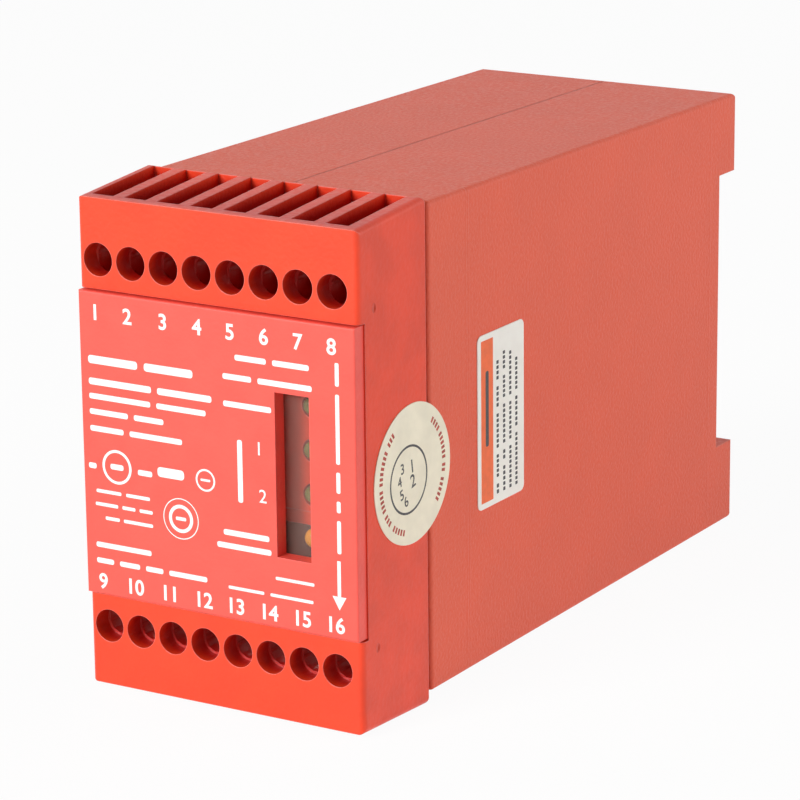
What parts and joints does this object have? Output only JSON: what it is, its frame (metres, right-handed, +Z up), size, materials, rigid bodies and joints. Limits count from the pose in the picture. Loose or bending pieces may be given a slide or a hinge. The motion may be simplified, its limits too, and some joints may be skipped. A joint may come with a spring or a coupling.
{
  "type": "safety relay",
  "caption": "Rail-mounted safety relay: moulded case, plug-in terminal head with rows of screw clamps above and below, lamp window in a snap-in front cover, and a sprung rail latch.",
  "frame": {"origin": "centre of the rail seat, the flat back of the case between its two feet", "axes": "+Y points out of the back, towards the rail; +Z up; +X to the right of someone who faces the front"},
  "size_m": [0.0451, 0.1099, 0.0716],
  "materials": {
    "case_plastic": "fine spark-eroded grain",
    "head_plastic": "smooth satin",
    "cover_plastic": "smooth satin",
    "window_pane": "smoked",
    "black_plastic": "moulded",
    "circuit_board": "green lacquer",
    "relay_cover": "moulded",
    "core_steel": "laminated",
    "coil_tape": "wound tape",
    "can_aluminium": "drawn",
    "contact_brass": "tinned ends",
    "screw_steel": "zinc plated",
    "cage_steel": "zinc plated",
    "spring_steel": "drawn wire",
    "latch_plastic": "moulded",
    "seal_paper": "printed seal",
    "label_paper": "printed label",
    "amber_lens": "clear amber",
    "green_lens": "clear green"
  },
  "bodies": {
    "module": {"case": "case_plastic", "terminal_head": "head_plastic", "front_cover": "cover_plastic", "window_pane": "window_pane", "lamp_block": "black_plastic", "indicator_board": "circuit_board", "terminal_board": "circuit_board", "main_board": "circuit_board", "control_board": "circuit_board", "relay_1": "relay_cover", "relay_2": "relay_cover", "transformer_core": "core_steel", "transformer_coil": "coil_tape", "rectifier": "black_plastic", "latch_spring": "spring_steel", "seal_disc": "seal_paper", "side_label": "label_paper", "amber_lamp": "amber_lens", "green_lamp_1": "green_lens", "green_lamp_2": "green_lens", "green_lamp_3": "green_lens", "capacitor_1": "can_aluminium", "capacitor_2": "can_aluminium", "logic_chip_1": "black_plastic", "logic_chip_2": "black_plastic", "upper_contact_bars": "contact_brass", "lower_contact_bars": "contact_brass"},
    "rail_latch": {"rail_latch": "latch_plastic"},
    "upper_screw_1": {"upper_screw_1": "screw_steel"},
    "upper_cage_1": {"upper_cage_1": "cage_steel"},
    "upper_screw_2": {"upper_screw_2": "screw_steel"},
    "upper_cage_2": {"upper_cage_2": "cage_steel"},
    "upper_screw_3": {"upper_screw_3": "screw_steel"},
    "upper_cage_3": {"upper_cage_3": "cage_steel"},
    "upper_screw_4": {"upper_screw_4": "screw_steel"},
    "upper_cage_4": {"upper_cage_4": "cage_steel"},
    "upper_screw_5": {"upper_screw_5": "screw_steel"},
    "upper_cage_5": {"upper_cage_5": "cage_steel"},
    "upper_screw_6": {"upper_screw_6": "screw_steel"},
    "upper_cage_6": {"upper_cage_6": "cage_steel"},
    "upper_screw_7": {"upper_screw_7": "screw_steel"},
    "upper_cage_7": {"upper_cage_7": "cage_steel"},
    "upper_screw_8": {"upper_screw_8": "screw_steel"},
    "upper_cage_8": {"upper_cage_8": "cage_steel"},
    "lower_screw_1": {"lower_screw_1": "screw_steel"},
    "lower_cage_1": {"lower_cage_1": "cage_steel"},
    "lower_screw_2": {"lower_screw_2": "screw_steel"},
    "lower_cage_2": {"lower_cage_2": "cage_steel"},
    "lower_screw_3": {"lower_screw_3": "screw_steel"},
    "lower_cage_3": {"lower_cage_3": "cage_steel"},
    "lower_screw_4": {"lower_screw_4": "screw_steel"},
    "lower_cage_4": {"lower_cage_4": "cage_steel"},
    "lower_screw_5": {"lower_screw_5": "screw_steel"},
    "lower_cage_5": {"lower_cage_5": "cage_steel"},
    "lower_screw_6": {"lower_screw_6": "screw_steel"},
    "lower_cage_6": {"lower_cage_6": "cage_steel"},
    "lower_screw_7": {"lower_screw_7": "screw_steel"},
    "lower_cage_7": {"lower_cage_7": "cage_steel"},
    "lower_screw_8": {"lower_screw_8": "screw_steel"},
    "lower_cage_8": {"lower_cage_8": "cage_steel"}
  },
  "joints": [
    {"name": "rail_latch_slide", "type": "slide", "parent": "module", "child": "rail_latch", "axis": [0, 0, -1], "range_m": [0, 0.0022], "stiffness_N_per_m": 1200, "springref_m": -0.001, "deforming": ["latch_spring"]},
    {"name": "upper_cage_1_slide", "type": "slide", "parent": "module", "child": "upper_cage_1", "axis": [0, -1, 0], "range_m": [0, 0.0018]},
    {"name": "upper_screw_1_turn", "type": "hinge", "parent": "module", "child": "upper_screw_1", "pos_m": [-0.01923, -0.0958, 0.02525], "axis": [0, 1, 0], "range_deg": [0, 1441]},
    {"name": "upper_cage_2_slide", "type": "slide", "parent": "module", "child": "upper_cage_2", "axis": [0, -1, 0], "range_m": [0, 0.0018]},
    {"name": "upper_screw_2_turn", "type": "hinge", "parent": "module", "child": "upper_screw_2", "pos_m": [-0.01385, -0.0958, 0.02525], "axis": [0, 1, 0], "range_deg": [0, 1441]},
    {"name": "upper_cage_3_slide", "type": "slide", "parent": "module", "child": "upper_cage_3", "axis": [0, -1, 0], "range_m": [0, 0.0018]},
    {"name": "upper_screw_3_turn", "type": "hinge", "parent": "module", "child": "upper_screw_3", "pos_m": [-0.00847, -0.0958, 0.02525], "axis": [0, 1, 0], "range_deg": [0, 1441]},
    {"name": "upper_cage_4_slide", "type": "slide", "parent": "module", "child": "upper_cage_4", "axis": [0, -1, 0], "range_m": [0, 0.0018]},
    {"name": "upper_screw_4_turn", "type": "hinge", "parent": "module", "child": "upper_screw_4", "pos_m": [-0.00309, -0.0958, 0.02525], "axis": [0, 1, 0], "range_deg": [0, 1441]},
    {"name": "upper_cage_5_slide", "type": "slide", "parent": "module", "child": "upper_cage_5", "axis": [0, -1, 0], "range_m": [0, 0.0018]},
    {"name": "upper_screw_5_turn", "type": "hinge", "parent": "module", "child": "upper_screw_5", "pos_m": [0.00229, -0.0958, 0.02525], "axis": [0, 1, 0], "range_deg": [0, 1441]},
    {"name": "upper_cage_6_slide", "type": "slide", "parent": "module", "child": "upper_cage_6", "axis": [0, -1, 0], "range_m": [0, 0.0018]},
    {"name": "upper_screw_6_turn", "type": "hinge", "parent": "module", "child": "upper_screw_6", "pos_m": [0.00767, -0.0958, 0.02525], "axis": [0, 1, 0], "range_deg": [0, 1441]},
    {"name": "upper_cage_7_slide", "type": "slide", "parent": "module", "child": "upper_cage_7", "axis": [0, -1, 0], "range_m": [0, 0.0018]},
    {"name": "upper_screw_7_turn", "type": "hinge", "parent": "module", "child": "upper_screw_7", "pos_m": [0.01305, -0.0958, 0.02525], "axis": [0, 1, 0], "range_deg": [0, 1441]},
    {"name": "upper_cage_8_slide", "type": "slide", "parent": "module", "child": "upper_cage_8", "axis": [0, -1, 0], "range_m": [0, 0.0018]},
    {"name": "upper_screw_8_turn", "type": "hinge", "parent": "module", "child": "upper_screw_8", "pos_m": [0.01843, -0.0958, 0.02525], "axis": [0, 1, 0], "range_deg": [0, 1441]},
    {"name": "lower_cage_1_slide", "type": "slide", "parent": "module", "child": "lower_cage_1", "axis": [0, -1, 0], "range_m": [0, 0.0018]},
    {"name": "lower_screw_1_turn", "type": "hinge", "parent": "module", "child": "lower_screw_1", "pos_m": [-0.01923, -0.0958, -0.0272], "axis": [0, 1, 0], "range_deg": [0, 1441]},
    {"name": "lower_cage_2_slide", "type": "slide", "parent": "module", "child": "lower_cage_2", "axis": [0, -1, 0], "range_m": [0, 0.0018]},
    {"name": "lower_screw_2_turn", "type": "hinge", "parent": "module", "child": "lower_screw_2", "pos_m": [-0.01385, -0.0958, -0.0272], "axis": [0, 1, 0], "range_deg": [0, 1441]},
    {"name": "lower_cage_3_slide", "type": "slide", "parent": "module", "child": "lower_cage_3", "axis": [0, -1, 0], "range_m": [0, 0.0018]},
    {"name": "lower_screw_3_turn", "type": "hinge", "parent": "module", "child": "lower_screw_3", "pos_m": [-0.00847, -0.0958, -0.0272], "axis": [0, 1, 0], "range_deg": [0, 1441]},
    {"name": "lower_cage_4_slide", "type": "slide", "parent": "module", "child": "lower_cage_4", "axis": [0, -1, 0], "range_m": [0, 0.0018]},
    {"name": "lower_screw_4_turn", "type": "hinge", "parent": "module", "child": "lower_screw_4", "pos_m": [-0.00309, -0.0958, -0.0272], "axis": [0, 1, 0], "range_deg": [0, 1441]},
    {"name": "lower_cage_5_slide", "type": "slide", "parent": "module", "child": "lower_cage_5", "axis": [0, -1, 0], "range_m": [0, 0.0018]},
    {"name": "lower_screw_5_turn", "type": "hinge", "parent": "module", "child": "lower_screw_5", "pos_m": [0.00229, -0.0958, -0.0272], "axis": [0, 1, 0], "range_deg": [0, 1441]},
    {"name": "lower_cage_6_slide", "type": "slide", "parent": "module", "child": "lower_cage_6", "axis": [0, -1, 0], "range_m": [0, 0.0018]},
    {"name": "lower_screw_6_turn", "type": "hinge", "parent": "module", "child": "lower_screw_6", "pos_m": [0.00767, -0.0958, -0.0272], "axis": [0, 1, 0], "range_deg": [0, 1441]},
    {"name": "lower_cage_7_slide", "type": "slide", "parent": "module", "child": "lower_cage_7", "axis": [0, -1, 0], "range_m": [0, 0.0018]},
    {"name": "lower_screw_7_turn", "type": "hinge", "parent": "module", "child": "lower_screw_7", "pos_m": [0.01305, -0.0958, -0.0272], "axis": [0, 1, 0], "range_deg": [0, 1441]},
    {"name": "lower_cage_8_slide", "type": "slide", "parent": "module", "child": "lower_cage_8", "axis": [0, -1, 0], "range_m": [0, 0.0018]},
    {"name": "lower_screw_8_turn", "type": "hinge", "parent": "module", "child": "lower_screw_8", "pos_m": [0.01843, -0.0958, -0.0272], "axis": [0, 1, 0], "range_deg": [0, 1441]}
  ],
  "couplings": [
    {"joint": "upper_screw_1_turn", "follows": "upper_cage_1_slide", "rad_per_m": 13963},
    {"joint": "upper_screw_2_turn", "follows": "upper_cage_2_slide", "rad_per_m": 13963},
    {"joint": "upper_screw_3_turn", "follows": "upper_cage_3_slide", "rad_per_m": 13963},
    {"joint": "upper_screw_4_turn", "follows": "upper_cage_4_slide", "rad_per_m": 13963},
    {"joint": "upper_screw_5_turn", "follows": "upper_cage_5_slide", "rad_per_m": 13963},
    {"joint": "upper_screw_6_turn", "follows": "upper_cage_6_slide", "rad_per_m": 13963},
    {"joint": "upper_screw_7_turn", "follows": "upper_cage_7_slide", "rad_per_m": 13963},
    {"joint": "upper_screw_8_turn", "follows": "upper_cage_8_slide", "rad_per_m": 13963},
    {"joint": "lower_screw_1_turn", "follows": "lower_cage_1_slide", "rad_per_m": 13963},
    {"joint": "lower_screw_2_turn", "follows": "lower_cage_2_slide", "rad_per_m": 13963},
    {"joint": "lower_screw_3_turn", "follows": "lower_cage_3_slide", "rad_per_m": 13963},
    {"joint": "lower_screw_4_turn", "follows": "lower_cage_4_slide", "rad_per_m": 13963},
    {"joint": "lower_screw_5_turn", "follows": "lower_cage_5_slide", "rad_per_m": 13963},
    {"joint": "lower_screw_6_turn", "follows": "lower_cage_6_slide", "rad_per_m": 13963},
    {"joint": "lower_screw_7_turn", "follows": "lower_cage_7_slide", "rad_per_m": 13963},
    {"joint": "lower_screw_8_turn", "follows": "lower_cage_8_slide", "rad_per_m": 13963}
  ]
}
